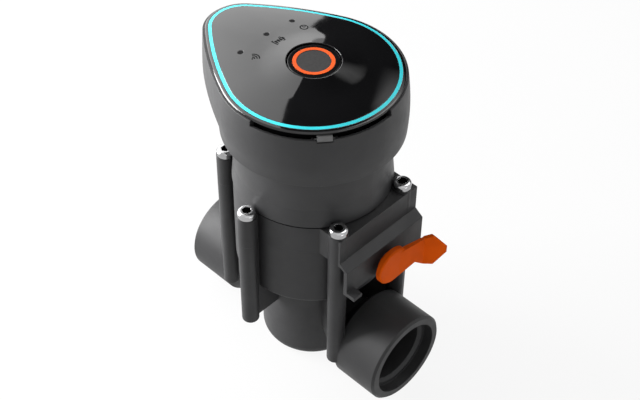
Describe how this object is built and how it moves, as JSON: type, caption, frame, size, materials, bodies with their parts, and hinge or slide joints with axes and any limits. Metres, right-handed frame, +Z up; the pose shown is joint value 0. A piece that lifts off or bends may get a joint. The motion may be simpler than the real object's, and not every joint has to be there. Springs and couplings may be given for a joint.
{
  "type": "irrigation valve with control unit",
  "caption": "Battery-operated bluetooth irrigation valve: dark body with two female ports, orange manual lever, egg-shaped control unit with a button, turquoise line and three indicators.",
  "frame": {"origin": "centre of the flat foot under the body", "axes": "+Z up along the body's axis, +X out of the outlet port on the lever's side"},
  "size_m": [0.097, 0.0714, 0.1308],
  "materials": {
    "body_plastic": "matte moulded dark grey",
    "housing_plastic": "matte moulded dark grey",
    "gloss_black": "polished black",
    "turquoise": "bright turquoise inlay",
    "orange": "satin orange moulding",
    "orange_ring": "bright orange",
    "button_black": "black, satin in the middle",
    "window": "smoked clear",
    "grey_tab": "mid grey",
    "stainless": "polished stainless",
    "steel": "zinc plated",
    "rubber_black": "matt black rubber",
    "inner_plastic": "natural moulded",
    "copper": "enamelled copper winding",
    "contact_metal": "plated strip",
    "battery_case": "plain printed can, bare",
    "board_green": "solder mask",
    "led_lens": "clear lens"
  },
  "bodies": {
    "valve": {"valve_body": "body_plastic", "bonnet": "body_plastic", "bonnet_screws": "stainless", "diaphragm": "rubber_black", "vent_seal": "rubber_black", "neck_seal": "rubber_black", "solenoid_seal": "rubber_black", "solenoid_tube": "stainless", "solenoid_bobbin": "inner_plastic", "solenoid_coil": "copper", "solenoid_yoke": "steel", "pole_piece": "steel", "latch_magnet": "steel", "coil_terminals": "contact_metal", "solenoid_screws": "steel"},
    "diaphragm_centre": {"diaphragm_plate": "inner_plastic", "diaphragm_spring": "stainless"},
    "plunger": {"solenoid_plunger": "steel", "plunger_seal": "rubber_black", "plunger_spring": "stainless"},
    "lever": {"manual_lever": "orange", "lever_spindle": "stainless", "spindle_seals": "rubber_black", "spindle_clip": "stainless"},
    "control_unit": {"control_housing": "housing_plastic", "battery": "battery_case", "battery_studs": "contact_metal", "battery_connector": "inner_plastic", "battery_leads": "contact_metal", "contact_strips": "contact_metal"},
    "latch": {"lid_latch": "grey_tab"},
    "lid": {"lid_panel": "gloss_black", "accent_line": "turquoise", "led_windows": "window", "lid_gasket": "rubber_black", "circuit_board": "board_green", "board_screws": "steel", "button_switch": "inner_plastic", "status_leds": "led_lens", "radio_module": "steel", "button_spring": "stainless"},
    "button": {"button_cap": "button_black", "button_ring": "orange_ring"}
  },
  "joints": [
    {"name": "lever_turn", "type": "hinge", "parent": "valve", "child": "lever", "pos_m": [0.0349, 0.001, 0.06], "axis": [1, 0, 0], "range_deg": [0, 90]},
    {"name": "diaphragm_lift", "type": "slide", "parent": "valve", "child": "diaphragm_centre", "axis": [0, 0, 1], "range_m": [0, 0.004], "stiffness_N_per_m": 400, "springref_m": -0.004, "deforming": ["diaphragm", "diaphragm_spring"]},
    {"name": "plunger_lift", "type": "slide", "parent": "valve", "child": "plunger", "axis": [0, 0, 1], "range_m": [0, 0.0012], "stiffness_N_per_m": 300, "springref_m": -0.001, "deforming": ["plunger_spring"]},
    {"name": "control_unit_lift", "type": "slide", "parent": "valve", "child": "control_unit", "axis": [0, 0, 1], "range_m": [0, 0.08]},
    {"name": "lid_lift", "type": "slide", "parent": "control_unit", "child": "lid", "axis": [0, 0, 1], "range_m": [0, 0.06]},
    {"name": "button_press", "type": "slide", "parent": "lid", "child": "button", "axis": [0, 0, -1], "range_m": [0, 0.0005], "stiffness_N_per_m": 800, "springref_m": -0.0005, "deforming": ["button_spring"]},
    {"name": "latch_press", "type": "slide", "parent": "control_unit", "child": "latch", "axis": [-0.7771, 0.6293, 0], "range_m": [0, 0.0006], "stiffness_N_per_m": 600, "springref_m": -0.0003}
  ]
}
